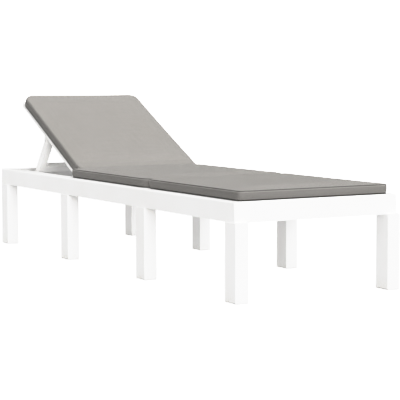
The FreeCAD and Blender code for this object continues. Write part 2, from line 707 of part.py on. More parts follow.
def pin(name, low_x, length, y, z):
    """A round pin with a thin head on its inner end."""
    body = new_body(name)
    pad(body, "YZ", low_x, length, circles=[(y, z, "pin_round")])
    pad(body, "YZ", f"{low_x} - 2", 2, circles=[(y, z, "pin_round + 2.5")])
    return body


pair(hinge_bracket(), "hinge_bracket")
hinge_pin = pin("hinge_pin", f"(hinge_across - {EAR_REACH})", f"2 * {EAR_REACH}", HINGE_Y, "hinge_height")
pair(hinge_pin, "hinge_pin")
bracket_screw = screw(BRACKET_BASE + 8)
bracket_top = worth(HINGE_BEAM_TOP) + BRACKET_BASE
group("hinge_bracket_screws", both_sides(
    [moved(bracket_screw, worth(x), worth(HINGE_SCREW_Y), bracket_top) for x in HINGE_SCREW_X]
))

# ---- strut ---------------------------------------------------------------------------------------------

ARM_IN = "(strut_half - strut_across)"
STRUT_BASE = 4


def tenon_section(fit):
    """The section of the crossbar's tenons, larger by a fit on each side."""
    along = f"(crossbar_deep / 2 - tenon_step + {fit})"
    deep = f"(strut_depth / 2 - tenon_step + {fit})"
    return rectangle(f"crossbar_along - {along}", f"-{deep}", f"crossbar_along + {along}", deep)


def strut_arm():
    """A right-hand arm, round at the pivot and at the foot, bored for its pin, with a tenon's mortise."""
    body = new_body("strut_arm")
    half = "(strut_depth / 2)"
    pad(body, "YZ", ARM_IN, "strut_across", rectangle("0", f"-{half}", "strut_length", half))
    pad(body, "YZ", ARM_IN, "strut_across", circles=[("0", "0", half)])
    pad(body, "YZ", ARM_IN, "strut_across", circles=[("strut_length", "0", half)])
    pin_bore = ("0", "0", "pin_round + pin_play")
    pocket(body, "YZ", f"{ARM_IN} - 1", "strut_across + 2", circles=[pin_bore])
    pocket(body, "YZ", f"{ARM_IN} - 1", "tenon_reach + tenon_fit + 1", tenon_section("tenon_fit"))
    return on_strut(body)


def crossbar():
    """The bar between the two arms, with a tenon at each end that snaps into its arm."""
    body = new_body("strut_crossbar")
    end = f"({ARM_IN} - 0.1)"
    low = "(crossbar_along - crossbar_deep / 2)"
    high = "(crossbar_along + crossbar_deep / 2)"
    half = "(strut_depth / 2)"
    pad(body, "YZ", f"-{end}", f"2 * {end}", rectangle(low, f"-{half}", high, half))
    round_edges(body, 2, lambda e: runs_along(e, 0))
    tenon_end = f"({ARM_IN} + tenon_reach)"
    pad(body, "YZ", f"-{tenon_end}", f"2 * {tenon_end}", tenon_section("0"))
    return on_strut(body)


def strut_bracket():
    """A right-hand bracket under the backrest: a base and two ears with the strut's pin between them."""
    body = new_body("strut_bracket")
    low_x = f"({ARM_IN} - arm_play - ear_thick)"
    high_x = "(strut_half + arm_play + outer_ear)"
    base_low = f"({UNDER_PANEL} - {STRUT_BASE})"
    tip = "knuckle_round"
    flat = "(knuckle_round - 4)"
    ear = [
        ("pivot_along - ear_foot", base_low),
        (f"pivot_along - {tip}", f"-pivot_below - {flat}"),
        (f"pivot_along - {flat}", f"-pivot_below - {tip}"),
        (f"pivot_along + {flat}", f"-pivot_below - {tip}"),
        (f"pivot_along + {tip}", f"-pivot_below - {flat}"),
        ("pivot_along + ear_foot", base_low),
    ]
    base = rectangle(low_x, "pivot_along - bracket_tail", high_x, "pivot_along + ear_foot + 2")
    pad(body, "XY", base_low, STRUT_BASE, base)
    pad(body, "YZ", low_x, "ear_thick", ear)
    pad(body, "YZ", "strut_half + arm_play", "outer_ear", ear)
    bore = ("pivot_along", "-pivot_below", "pin_round")
    pocket(body, "YZ", f"{low_x} - 1", f"{high_x} - {low_x} + 2", circles=[bore])
    holes = [(STRUT_SCREW_X, y, SCREW_HOLE) for y in STRUT_SCREW_Y]
    pocket(body, "XY", base_low, STRUT_BASE, circles=holes)
    return on_backrest(body)


pair(strut_arm(), "strut_arm")
keep(crossbar(), "strut_crossbar")
pair(strut_bracket(), "strut_bracket")
strut_pin = pin(
    "strut_pin",
    f"({ARM_IN} - arm_play - ear_thick)",
    "strut_across + 2 * arm_play + ear_thick + outer_ear",
    "pivot_along",
    "-pivot_below",
)
pair(on_backrest(strut_pin), "strut_pin")


def carried(shapes, y, z, tilt):
    """The shapes with their local origin at y, z and turned about the X axis with what they hold."""
    frame = FreeCAD.Placement(FreeCAD.Vector(0, y, z), FreeCAD.Rotation(FreeCAD.Vector(1, 0, 0), tilt))
    for shape in shapes:
        shape.Placement = frame.multiply(shape.Placement)
    return shapes


UPWARD = FreeCAD.Rotation(FreeCAD.Vector(1, 0, 0), 180)
panel_screw = screw(STRUT_BASE + 10)
panel_screws = [
    moved(panel_screw, worth(STRUT_SCREW_X), worth(y), worth(UNDER_PANEL) - STRUT_BASE, UPWARD)
    for y in STRUT_SCREW_Y
]
panel_screws = carried(panel_screws, worth(HINGE_Y), worth("hinge_height"), worth("rest_angle"))
group("strut_bracket_screws", both_sides(panel_screws))

# ---- notched racks -----------------------------------------------------------------------------------------


def strut_place(angle):
    """The strut's pivot, its foot and its fold rate, from the hinge axis, at a backrest angle.

    The strut folds at a constant rate, from its rest position to lying along the flat backrest with a
    small gap left above its foot.
    """
    along = worth("pivot_along")
    below = worth("pivot_below")
    length = worth("strut_length")
    spare = worth("panel_rise - panel_thick + pivot_below - strut_depth / 2") - FOLDED_GAP
    folded = -math.degrees(math.asin(spare / length))
    rate = (worth("strut_angle") - folded) / worth("rest_angle")
    tilt = math.radians(angle)
    lean = tilt - math.radians(folded + rate * angle)
    pivot = (
        along * math.cos(tilt) + below * math.sin(tilt),
        along * math.sin(tilt) - below * math.cos(tilt),
    )
    foot = (pivot[0] + length * math.cos(lean), pivot[1] + length * math.sin(lean))
    return pivot, foot, lean, rate


def clear_height(y):
    """The highest a rack may reach at y and still pass under the strut on its way down to flat."""
    reach = worth("strut_depth / 2")
    steps = 60
    lowest = 0
    for i in range(steps + 1):
        pivot, foot, lean, rate = strut_place(worth("rest_angle") * i / steps)
        if pivot[0] < y < foot[0]:
            lowest = min(lowest, pivot[1] + (y - pivot[0]) * math.tan(lean) - reach / math.cos(lean))
        if abs(foot[0] - y) < reach:
            lowest = min(lowest, foot[1] - math.sqrt(reach ** 2 - (foot[0] - y) ** 2))
    return worth("hinge_height") + lowest - PASSING_GAP


def rack():
    """A right-hand rack: a seat under the strut's foot at rest, then notches with a tooth behind each."""
    body = new_body("rack")
    low_x = f"({INNER} - rack_width)"
    origin = worth(HINGE_Y)
    feet = [strut_place(angle)[1][0] for angle in NOTCH_ANGLES]
    start = worth(RACK_START) - origin
    end = worth(RACK_END) - origin
    seat_end = feet[0] + worth("strut_depth / 2")
    seat = min(clear_height(start), clear_height(feet[0]))
    floor = worth(RAIL_LOW) + 7.5
    outline = [(RACK_START, RAIL_LOW), (RACK_START, seat), (origin + feet[0], seat)]
    outline.append((origin + seat_end, min(seat, clear_height(seat_end))))
    outline.append((origin + seat_end + 7, floor))
    for foot in feet[1:]:
        tooth = foot + worth("strut_depth / 2") + 2
        crest = min(clear_height(tooth), clear_height(tooth + 3))
        outline.append((origin + tooth - 2, floor))
        outline.append((origin + tooth, crest))
        outline.append((origin + tooth + 3, crest))
        if tooth + 8 < end:
            outline.append((origin + tooth + 6, floor))
    outline += [(RACK_END, clear_height(end)), (RACK_END, RAIL_LOW)]
    pad(body, "YZ", low_x, "rack_width", outline)
    holes = [(y, z, SCREW_HOLE) for y, z in RACK_SCREWS]
    pocket(body, "YZ", f"{INNER} - 21", 21, circles=holes)
    return body


pair(rack(), "rack")
rack_screw = screw(22)
group("rack_screws", both_sides(
    [moved(rack_screw, wall_x, worth(y), worth(z), TO_RIGHT) for y, z in RACK_SCREWS]
))

# ---- cushion -------------------------------------------------------------------------------------------------


def cushion(name, half_width, low_y, high_y, low_z, thick):
    """A plain closed cushion panel."""
    body = new_body(name)
    pad(body, "XY", low_z, thick, rectangle(f"-{half_width}", low_y, half_width, high_y))
    return body


def round_corners(body, end_y, radius):
    """Rounds a panel's two upright edges at one end."""
    end = worth(end_y)
    round_edges(body, radius, lambda e: runs_along(e, 2) and lies_at(e, y=end))


START = f"({FRONT} + cushion_start)"
SPLIT = f"({FRONT} + cushion_split)"
REAR = f"({HINGE_Y} - hinge_gap)"
CUSHION_HALF = "(cushion_width / 2)"
foot_cushion = cushion(
    "foot_cushion", CUSHION_HALF, START, f"{SPLIT} - split_gap", "deck_top", "cushion_thick"
)
round_corners(foot_cushion, START, "cushion_corner")
keep(foot_cushion, "foot_cushion")
seat_cushion = cushion(
    "seat_cushion", CUSHION_HALF, f"{SPLIT} + split_gap", REAR, "deck_top", "cushion_thick"
)
keep(seat_cushion, "seat_cushion")
back_cushion = cushion(
    "back_cushion", "(back_width / 2)", "back_start", "back_end", "panel_rise", "back_thick"
)
round_corners(back_cushion, "back_end", "back_corner")
keep(on_backrest(back_cushion), "back_cushion")

# ---- check and write --------------------------------------------------------------------------------------

doc.recompute()
fold_rate = strut_place(worth("rest_angle"))[3]
print(f"strut folds {fold_rate:.4f} degrees for each degree of the backrest")
print(f"hinge axis y {worth(HINGE_Y):.2f} z {worth('hinge_height'):.2f}")
print(f"strut pivot y {worth(PIVOT_Y):.3f} z {worth(PIVOT_Z):.3f}")
for thing in doc.Objects:
    if "Invalid" in thing.State or "Error" in thing.State:
        raise RuntimeError(f"{thing.Name} is {thing.State}")
os.makedirs("parts", exist_ok=True)
for node in nodes:
    shape = node.Shape
    if shape.isNull() or not shape.isValid() or not shape.Solids:
        raise RuntimeError(f"{node.Label} has no valid solid")
    shape.exportStep(f"parts/{node.Label}.step")
print(f"wrote {len(nodes)} pieces")
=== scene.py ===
import json
import math

import bmesh
import bpy
from mathutils import Matrix, Vector, noise
from mathutils.bvhtree import BVHTree


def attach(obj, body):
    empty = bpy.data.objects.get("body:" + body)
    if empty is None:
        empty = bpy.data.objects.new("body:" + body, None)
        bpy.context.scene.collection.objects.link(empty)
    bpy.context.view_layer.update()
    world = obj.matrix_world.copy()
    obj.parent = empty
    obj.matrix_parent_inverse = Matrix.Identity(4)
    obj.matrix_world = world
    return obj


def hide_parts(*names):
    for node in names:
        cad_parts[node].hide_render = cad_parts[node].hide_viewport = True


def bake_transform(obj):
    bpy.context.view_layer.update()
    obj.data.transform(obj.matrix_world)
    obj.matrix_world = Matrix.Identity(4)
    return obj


# Looks of the reclining sun lounger: white moulded plastic, zinc plated fasteners, and a three-panel
# cushion in plain-woven fabric with piped edges. Metres, in the frame of the CAD model: +Y to the head.

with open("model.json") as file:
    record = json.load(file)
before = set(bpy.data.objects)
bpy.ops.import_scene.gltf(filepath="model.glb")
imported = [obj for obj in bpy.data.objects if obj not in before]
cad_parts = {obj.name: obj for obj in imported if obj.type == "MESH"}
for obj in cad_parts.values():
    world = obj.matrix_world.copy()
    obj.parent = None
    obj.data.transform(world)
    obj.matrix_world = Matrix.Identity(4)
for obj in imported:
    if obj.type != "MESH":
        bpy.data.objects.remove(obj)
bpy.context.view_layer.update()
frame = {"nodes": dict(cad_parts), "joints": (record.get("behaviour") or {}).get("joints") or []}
MM = 0.001

# ---- places read from the frame ------------------------------------------------------------------

HINGE = Vector(next(j["pos_m"] for j in frame["joints"] if j["name"] == "backrest_hinge"))
REST_ANGLE = math.radians(26.9)
BED = Matrix.Identity(4)
BACK = Matrix.Translation(HINGE) @ Matrix.Rotation(REST_ANGLE, 4, "X")


def local_box(node, matrix):
    """Lowest and highest corner of a CAD node, in the coordinates that the matrix sets."""
    inverse = matrix.inverted()
    points = [inverse @ vertex.co for vertex in frame["nodes"][node].data.vertices]
    low = Vector([min(point[i] for point in points) for i in range(3)])
    high = Vector([max(point[i] for point in points) for i in range(3)])
    return low, high


# ---- material helpers ----------------------------------------------------------------------------


class Recipe:
    """A material under construction: makes shader nodes and joins them."""

    def __init__(self, name):
        self.material = bpy.data.materials.new(name)
        self.material.use_nodes = True
        self.tree = self.material.node_tree
        self.shader = self.tree.nodes["Principled BSDF"]

    def node(self, kind, settings=None, **inputs):
        """A node with its settings and inputs; an input is a value or another node's socket."""
        made = self.tree.nodes.new(f"ShaderNode{kind}")
        for key, value in (settings or {}).items():
            setattr(made, key, value)
        for key, value in inputs.items():
            self.feed(made.inputs[key.replace("_", " ")], value)
        return made

    def feed(self, socket, value):
        if isinstance(value, bpy.types.NodeSocket):
            self.tree.links.new(value, socket)
        else:
            socket.default_value = value

    def set(self, **inputs):
        for key, value in inputs.items():
            self.feed(self.shader.inputs[key.replace("_", " ")], value)

    def sums(self, operation, first, second=0.0):
        """A Math node's result."""
        made = self.tree.nodes.new("ShaderNodeMath")
        made.operation = operation
        self.feed(made.inputs[0], first)
        self.feed(made.inputs[1], second)
        return made.outputs[0]

    def range(self, value, low, high, new_low, new_high):
        """A value carried from one range to another, and held to it."""
        made = self.node("MapRange")
        for index, amount in enumerate((value, low, high, new_low, new_high)):
            self.feed(made.inputs[index], amount)
        return made.outputs[0]

    def noise(self, scale, detail=2.0, stretch=(1, 1, 1)):
        """Noise in the piece's own coordinates, stretched along its axes."""
        place = self.node("TexCoord").outputs["Object"]
        spread = self.node("Mapping", Vector=place, Scale=stretch).outputs[0]
        made = self.node("TexNoise", Vector=spread, Scale=scale, Detail=detail)
        return made.outputs["Fac"]

    def blend(self, share, first, second, mode="MIX"):
        """Two colours mixed by a share."""
        made = self.tree.nodes.new("ShaderNodeMix")
        made.data_type = "RGBA"
        made.blend_type = mode
        self.feed(made.inputs[0], share)
        self.feed(made.inputs[6], first)
        self.feed(made.inputs[7], second)
        return made.outputs[2]

    def bump(self, layers, normal=None):
        """Heights of (value, distance in metres, strength), one on the other and on a base normal."""
        for height, distance, strength in layers:
            made = self.node("Bump", Height=height, Distance=distance, Strength=strength)
            if normal is not None:
                self.feed(made.inputs["Normal"], normal)
            normal = made.outputs[0]
        self.set(Normal=normal)


def grey(level, warm=0.0):
    """A light neutral colour, with a little warmth taken from its blue."""
    return (level, level * (1 - warm * 0.4), level * (1 - warm), 1)


# ---- materials -----------------------------------------------------------------------------------


EDGE_RADIUS = 1.2 * MM
DUST_HEIGHT = 45 * MM


def moulded_plastic(name, level, gloss):
    """Moulded plastic: fine pebbled grain, faint flow marks, and dust towards the ground."""
    recipe = Recipe(name)
    cloud = recipe.noise(5, 3)
    fresh = grey(level, 0.012)
    aged = grey(level * 0.965, 0.03)
    colour = recipe.blend(recipe.range(cloud, 0.35, 0.65, 0, 1), fresh, aged)
    height = recipe.node("SeparateXYZ", Vector=recipe.node("TexCoord").outputs["Object"]).outputs["Z"]
    dust = recipe.range(height, 0.0, DUST_HEIGHT, 1, 0)
    specks = recipe.range(recipe.noise(160, 4), 0.45, 0.7, 0, 0.5)
    colour = recipe.blend(recipe.sums("MULTIPLY", dust, specks), colour, grey(level * 0.72, 0.16))
    recipe.set(Base_Color=colour)
    recipe.set(Roughness=recipe.range(recipe.noise(22, 4), 0.3, 0.7, gloss, gloss + 0.14))
    recipe.set(Specular_IOR_Level=0.45)
    grain = recipe.noise(1500, 2)
    swell = recipe.noise(38, 1, (1, 0.35, 1))
    soft_edge = recipe.node("Bevel", {"samples": 4}, Radius=EDGE_RADIUS).outputs[0]
    recipe.bump([(swell, 0.0004, 0.18), (grain, 0.00008, 0.35)], soft_edge)
    return recipe.material


def plated_steel():
    """Zinc plated steel with drawn streaks."""
    recipe = Recipe("zinc plated steel")
    streak = recipe.noise(260, 3, (0.1, 1, 1))
    colour = recipe.blend(recipe.range(streak, 0.3, 0.7, 0, 1), (0.60, 0.60, 0.62, 1), (0.72, 0.72, 0.74, 1))
    recipe.set(Base_Color=colour, Metallic=1.0)
    recipe.set(Roughness=recipe.range(streak, 0.3, 0.7, 0.26, 0.42))
    recipe.bump([(streak, 0.00005, 0.4)])
    return recipe.material


THREAD = 0.9 * MM


def woven_fabric(name, colour, depth=1.0):
    """Plain-woven polyester: crossing threads on every face, uneven yarn, soft shading and a faint sheen."""
    recipe = Recipe(name)
    texture = recipe.node("TexCoord")
    drift = recipe.node("TexNoise", Vector=texture.outputs["Object"], Scale=70.0, Detail=2.0)
    wander = recipe.node("VectorMath", {"operation": "SCALE"}, Vector=drift.outputs["Color"], Scale=0.0012)
    place = recipe.node("VectorMath", {"operation": "ADD"})
    recipe.feed(place.inputs[0], texture.outputs["Object"])
    recipe.feed(place.inputs[1], wander.outputs[0])
    along = recipe.node("SeparateXYZ", Vector=place.outputs[0]).outputs
    facing = recipe.node("SeparateXYZ", Vector=texture.outputs["Normal"]).outputs
    threads = [recipe.sums("SINE", recipe.sums("MULTIPLY", axis, math.pi / THREAD)) for axis in along]
    weave = None
    for across, first, second in ((0, 1, 2), (1, 0, 2), (2, 0, 1)):
        crossing = recipe.sums("MULTIPLY", threads[first], threads[second])
        share = recipe.sums("MULTIPLY", crossing, recipe.sums("ABSOLUTE", facing[across]))
        weave = share if weave is None else recipe.sums("ADD", weave, share)
    fleck = recipe.noise(900, 3)
    warp = recipe.noise(260, 2, (1, 0.03, 1))
    weft = recipe.noise(260, 2, (0.03, 1, 1))
    cloud = recipe.noise(3.2, 3)
    light = tuple(part * 1.07 for part in colour) + (1,)
    dark = tuple(part * 0.86 for part in colour) + (1,)
    yarn = recipe.sums("ADD", recipe.sums("MULTIPLY", warp, 0.5), recipe.sums("MULTIPLY", weft, 0.5))
    share = recipe.sums("ADD", recipe.range(yarn, 0.35, 0.65, 0.2, 0.8), recipe.sums("MULTIPLY", weave, 0.25))
    tone = recipe.blend(recipe.range(share, 0, 1, 0, 1), dark, light)
    tone = recipe.blend(recipe.range(fleck, 0.35, 0.65, 0, 0.22), tone, dark)
    shade = recipe.blend(recipe.range(cloud, 0.35, 0.65, 0, 1), (1, 1, 1, 1), (0.97, 0.965, 0.955, 1))
    recipe.set(Base_Color=recipe.blend(1.0, tone, shade, "MULTIPLY"))
    recipe.set(Roughness=recipe.range(fleck, 0.3, 0.7, 0.78, 0.94))
    recipe.set(Specular_IOR_Level=0.25, Sheen_Weight=0.18, Sheen_Roughness=0.45)
    recipe.set(Sheen_Tint=(0.93, 0.91, 0.88, 1))
    crease = recipe.noise(16, 2, (1, 0.7, 1))
    recipe.bump([(crease, 0.0010 * depth, 0.20), (yarn, 0.0002, 0.4), (weave, 0.00022, 0.55)])
    return recipe.material


TAUPE = (0.213, 0.204, 0.192)


def taupe(share):
    """The cushion's colour, darkened to a share of its brightness."""
    return tuple(part * share for part in TAUPE)


PLASTIC = moulded_plastic("white moulded plastic", 0.90, 0.34)
PAD_PLASTIC = moulded_plastic("pale grey foot pad", 0.70, 0.55)
STEEL = plated_steel()
FABRIC = woven_fabric("taupe woven fabric", TAUPE)
# The side band is the same cloth as the top, darkened to 0.67 of its colour: painted shade on the panels'
# side faces.
SHADED_BAND_FABRIC = woven_fabric("taupe side band with painted shade", taupe(0.67), 1.6)
# The top cord stands for the real piping, but its dark colour is painted shade along the seam.
SEAM_SHADE_PIPING_FABRIC = woven_fabric("taupe piping darkened as painted seam shade", taupe(0.32), 0.4)
# The lower cord is near-black: painted shadow where the panel sits on the frame.
CONTACT_SHADOW_CORD_FABRIC = woven_fabric("taupe lower cord, painted contact shadow", taupe(0.11), 0.4)

# ---- CAD pieces ----------------------------------------------------------------------------------


def dress_cad_pieces():
    """Gives each CAD piece its material."""
    for name, piece in frame["nodes"].items():
        if "screws" in name or "_pin_" in name:
            finish = STEEL
        elif name == "leg_pads":
            finish = PAD_PLASTIC
        elif "cushion" in name:
            finish = FABRIC
        else:
            finish = PLASTIC
        piece.data.materials.clear()
        piece.data.materials.append(finish)


dress_cad_pieces()

# ---- mesh helpers --------------------------------------------------------------------------------


def new_piece(name, mesh_maker, materials):
    """An object whose mesh is filled by mesh_maker(bmesh)."""
    mesh = bpy.data.meshes.new(name)
    shape = bmesh.new()
    mesh_maker(shape)
    bmesh.ops.recalc_face_normals(shape, faces=shape.faces)
    shape.to_mesh(mesh)
    shape.free()
    piece = bpy.data.objects.new(name, mesh)
    bpy.context.scene.collection.objects.link(piece)
    for material in materials:
        mesh.materials.append(material)
    mesh.shade_smooth()
    return piece


def settle_modifiers(piece):
    """Makes what the modifiers give the piece's own mesh."""
    depsgraph = bpy.context.evaluated_depsgraph_get()
    mesh = bpy.data.meshes.new_from_object(piece.evaluated_get(depsgraph))
    piece.modifiers.clear()
    piece.data = mesh


def skin(shape, rings, capped=False):
    """Faces between closed rings of points, each ring joined to the next."""
    rows = [[shape.verts.new(point) for point in ring] for ring in rings]
    count = len(rows[0])
    for lower, upper in zip(rows, rows[1:]):
        for i in range(count):
            j = (i + 1) % count
            shape.faces.new((lower[i], lower[j], upper[j], upper[i]))
    if capped:
        shape.faces.new(list(reversed(rows[0])))
        shape.faces.new(rows[-1])


# ---- cushion panels ------------------------------------------------------------------------------

# Points along a corner and a side, how far a side pulls in, and how the shells are blown up and held back.
ARC_STEPS = 10
SIDE_STEPS = 40
PULL = 1.5 * MM
VOXEL = 6 * MM
CLOTH_STEPS = 20
PRESSURE = 4
CROWN = 7 * MM
CROWN_RUN = 30 * MM
BULGE = 4.5 * MM
TOP_LAYER = 3 * MM
UNEVEN = 0.5 * MM
# The shells before they are blown up: height as a share of the panel's, and mm inside the outline.
BED_SECTION = ((0.0, 5.0), (0.08, 0.0), (0.3, -1.5), (0.55, -2.5), (0.8, -2.0), (0.94, 0.0), (1.0, 2.0))
BACK_SECTION = ((0.0, 5.0), (0.09, -0.5), (0.4, -2.0), (0.7, -1.5), (0.87, 0.0), (0.96, 3.0), (1.0, 7.0))
# The top cord's dark colour is painted seam shade; the lip cord keeps the cover's own colour.
# The cords round a panel: height as a share of the panel's, radius, and how much of the radius is sunk.
TOP_SEAM = 0.9
TOP_CORD = 1.7 * MM
TOP_SINK = 0.15
LIP_DROP = 0.1
LIP_CORD = 1.5 * MM
LIP_SINK = 0.3
# The low cord is painted contact shadow: a near-black cord along the panel's foot.
LOW_SEAM = 0.085
LOW_CORD = 3 * MM
LOW_SINK = 0.35
CORD_SIDES = 8


class Plan:
    """A panel's outline seen from above: a rectangle with its own corner radius at each end."""

    def __init__(self, low, high, foot_radius, head_radius):
        self.low = low
        self.high = high
        self.radii = (foot_radius, head_radius)
        self.middle = (low + high) / 2
        self.half = (high - low) / 2

    def height(self, share):
        return self.low.z + (self.high.z - self.low.z) * share

    def points(self, inset):
        """The outline, anticlockwise; each side pulls in a little between its corners."""
        left, right = self.low.x + inset, self.high.x - inset
        foot, head = self.low.y + inset, self.high.y - inset
        foot_radius, head_radius = (max(radius - inset, MM) for radius in self.radii)
        corners = (
            (left + foot_radius, foot + foot_radius, foot_radius, 2),
            (right - foot_radius, foot + foot_radius, foot_radius, 3),
            (right - head_radius, head - head_radius, head_radius, 0),
            (left + head_radius, head - head_radius, head_radius, 1),
        )
        arcs = []
        for x, y, radius, quarter in corners:
            angles = [(quarter + i / ARC_STEPS) * math.pi / 2 for i in range(ARC_STEPS + 1)]
            arcs.append([Vector((x + radius * math.cos(a), y + radius * math.sin(a))) for a in angles])
        outline = []
        for i, arc in enumerate(arcs):
            following = arcs[(i + 1) % 4][0]
            outline += arc
            side = following - arc[-1]
            inward = Vector((-side.y, side.x)).normalized()
            for step in range(1, SIDE_STEPS):
                share = step / SIDE_STEPS
                outline.append(arc[-1] + side * share + inward * PULL * math.sin(math.pi * share))
        return outline

    def inside(self, x, y):
        """How far a point lies inside the outline."""
        radius = self.radii[0] if y < self.middle.y else self.radii[1]
        across = abs(x - self.middle.x) - (self.half.x - radius)
        along = abs(y - self.middle.y) - (self.half.y - radius)
        outside = math.hypot(max(across, 0), max(along, 0)) + min(max(across, along), 0) - radius
        return -outside


def inflate(piece, sewn):
    """Blows the shell up with cloth pressure; the sewn vertices stay where they are."""
    group = piece.vertex_groups.new(name="sewn")
    group.add(sewn, 1.0, "REPLACE")
    cloth = piece.modifiers.new("inflate", "CLOTH")
    cloth.settings.quality = 5
    cloth.settings.vertex_group_mass = group.name
    cloth.settings.use_pressure = True
    cloth.settings.uniform_pressure_force = PRESSURE
    cloth.settings.effector_weights.gravity = 0
    cloth.point_cache.frame_start = 1
    cloth.point_cache.frame_end = CLOTH_STEPS
    for step in range(1, CLOTH_STEPS + 1):
        bpy.context.scene.frame_set(step)
    settle_modifiers(piece)
    bpy.context.scene.frame_set(1)


def shaped(rest, blown, plan):
    """Where a vertex ends: capped movement, soft unevenness on top, and puckers beside the top seam."""
    depth = plan.inside(rest.x, rest.y)
    on_top = rest.z > plan.high.z - TOP_LAYER
    seam_allowance = 8 * MM
    pucker_depth = 9 * MM
    pucker_width = 6 * MM
    cap = CROWN if on_top and depth > seam_allowance else BULGE
    move = blown - rest
    if move.length > cap:
        move *= cap / move.length
    place = rest + move
    if on_top and depth > 0:
        ease = 1 - math.exp(-depth / CROWN_RUN)
        place.z += UNEVEN * ease * noise.noise(Vector((rest.x * 7, rest.y * 7, plan.middle.y)))
        pucker = 0.5 + 0.5 * noise.noise(Vector((rest.x * 55, rest.y * 55, 4)))
        place.z -= UNEVEN * pucker * math.exp(-abs(depth - pucker_depth) / pucker_width)
    return place


def sewn_points(points, plan):
    """The vertices that the seams hold: the underside, and the rim of the top."""
    held = 5 * MM
    rim = 6 * MM
    sewn = []
    for index, point in enumerate(points):
        on_rim = point.z > plan.high.z - held and plan.inside(point.x, point.y) < rim
        if point.z < plan.low.z + held or on_rim:
            sewn.append(index)
    return sewn


def cushion(
    name, node, body, matrix, section, radii,
    seam=TOP_SEAM, cord=TOP_CORD, lip=True, early=0.0, more=(0, 0, 0),
):
    """One cushion panel: a sewn shell blown up over its CAD solid, and the piping along its seams.

    A shell with early or more starts before its solid's foot end, or stands past its sides, head end and top.
    """
    low, high = local_box(node, matrix)
    low.y -= early
    low.x -= more[0]
    high += Vector(more)
    plan = Plan(low, high, *radii)
    rings = [[(p.x, p.y, plan.height(share)) for p in plan.points(inset * MM)] for share, inset in section]
    piece = new_piece(name, lambda shape: skin(shape, rings, capped=True), ())
    remesh = piece.modifiers.new("remesh", "REMESH")
    remesh.mode = "VOXEL"
    remesh.voxel_size = VOXEL
    settle_modifiers(piece)
    rest = [vertex.co.copy() for vertex in piece.data.vertices]
    inflate(piece, sewn_points(rest, plan))
    for vertex, point in zip(piece.data.vertices, rest):
        vertex.co = shaped(point, vertex.co, plan)
    finer = piece.modifiers.new("finer", "SUBSURF")
    finer.levels = finer.render_levels = 1
    settle_modifiers(piece)
    # Faces turned sideways get the darkened band cloth: painted shade.
    for material in (FABRIC, SHADED_BAND_FABRIC):
        piece.data.materials.append(material)
    for face in piece.data.polygons:
        face.material_index = 1 if face.normal.z < 0.5 else 0
    piece.data.shade_smooth()
    surface = BVHTree.FromObject(piece, bpy.context.evaluated_depsgraph_get())
    piece.matrix_world = matrix
    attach(piece, body)
    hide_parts(node)
    # Dark top cord: piping whose colour is painted seam shade.
    piping(f"{name}_piping", plan, seam, surface, cord, TOP_SINK, SEAM_SHADE_PIPING_FABRIC, body, matrix)
    if lip:
        piping(f"{name}_lip", plan, seam - LIP_DROP, surface, LIP_CORD, LIP_SINK, FABRIC, body, matrix)
    # Near-black low cord: painted shadow where the panel meets the frame.
    piping(f"{name}_lower_cord_painted_shadow", plan, LOW_SEAM, surface, LOW_CORD, LOW_SINK, CONTACT_SHADOW_CORD_FABRIC, body, matrix)
    return surface


def piping(name, plan, share, surface, radius, sink, material, body, matrix):
    """A covered cord sewn round a panel at a share of its height, partly sunk in the cover."""
    path = plan.points(0)
    count = len(path)
    height = plan.height(share)
    reach = 30 * MM
    centres = []
    outs = []
    for i, point in enumerate(path):
        way = (path[(i + 1) % count] - path[i - 1]).normalized()
        out = Vector((way.y, -way.x, 0))
        start = Vector((point.x, point.y, height)) + out * reach
        hit = surface.ray_cast(start, -out)[0]
        centres.append(hit - out * radius * sink)
        outs.append(out)
    centres = [(centres[i - 1] + centres[i] * 2 + centres[(i + 1) % count]) / 4 for i in range(count)]
    turns = [2 * math.pi * k / CORD_SIDES for k in range(CORD_SIDES)]

    def tube(shape):
        rings = [
            [centre + radius * (out * math.cos(t) + Vector((0, 0, math.sin(t)))) for t in turns]
            for centre, out in zip(centres, outs)
        ]
        skin(shape, rings + rings[:1])
        bmesh.ops.remove_doubles(shape, verts=shape.verts, dist=0.01 * MM)

    made = new_piece(name, tube, [material])
    made.matrix_world = matrix
    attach(made, body)


cushion("foot_panel", "foot_cushion", "frame", BED, BED_SECTION, (16 * MM, 5 * MM))
seat_surface = cushion("seat_panel", "seat_cushion", "frame", BED, BED_SECTION, (62 * MM, 5 * MM))
back_surface = cushion(
    "back_panel", "back_cushion", "backrest", BACK, BACK_SECTION, (14 * MM, 34 * MM),
    seam=0.62, cord=0.9 * MM, lip=False, early=2 * MM, more=(0.5 * MM, 5 * MM, 3.2 * MM),
)

# ---- folds between the panels --------------------------------------------------------------------


def top_of(surface, x, y):
    """Height of a panel's top at a place, in the panel's own coordinates."""
    return surface.ray_cast(Vector((x, y, 1)), Vector((0, 0, -1)))[0].z


def bezier(start, start_pull, end_pull, end, share):
    """A point on a cubic curve."""
    rest = 1 - share
    return (
        start * rest ** 3
        + start_pull * 3 * rest ** 2 * share
        + end_pull * 3 * rest * share ** 2
        + end * share ** 3
    )


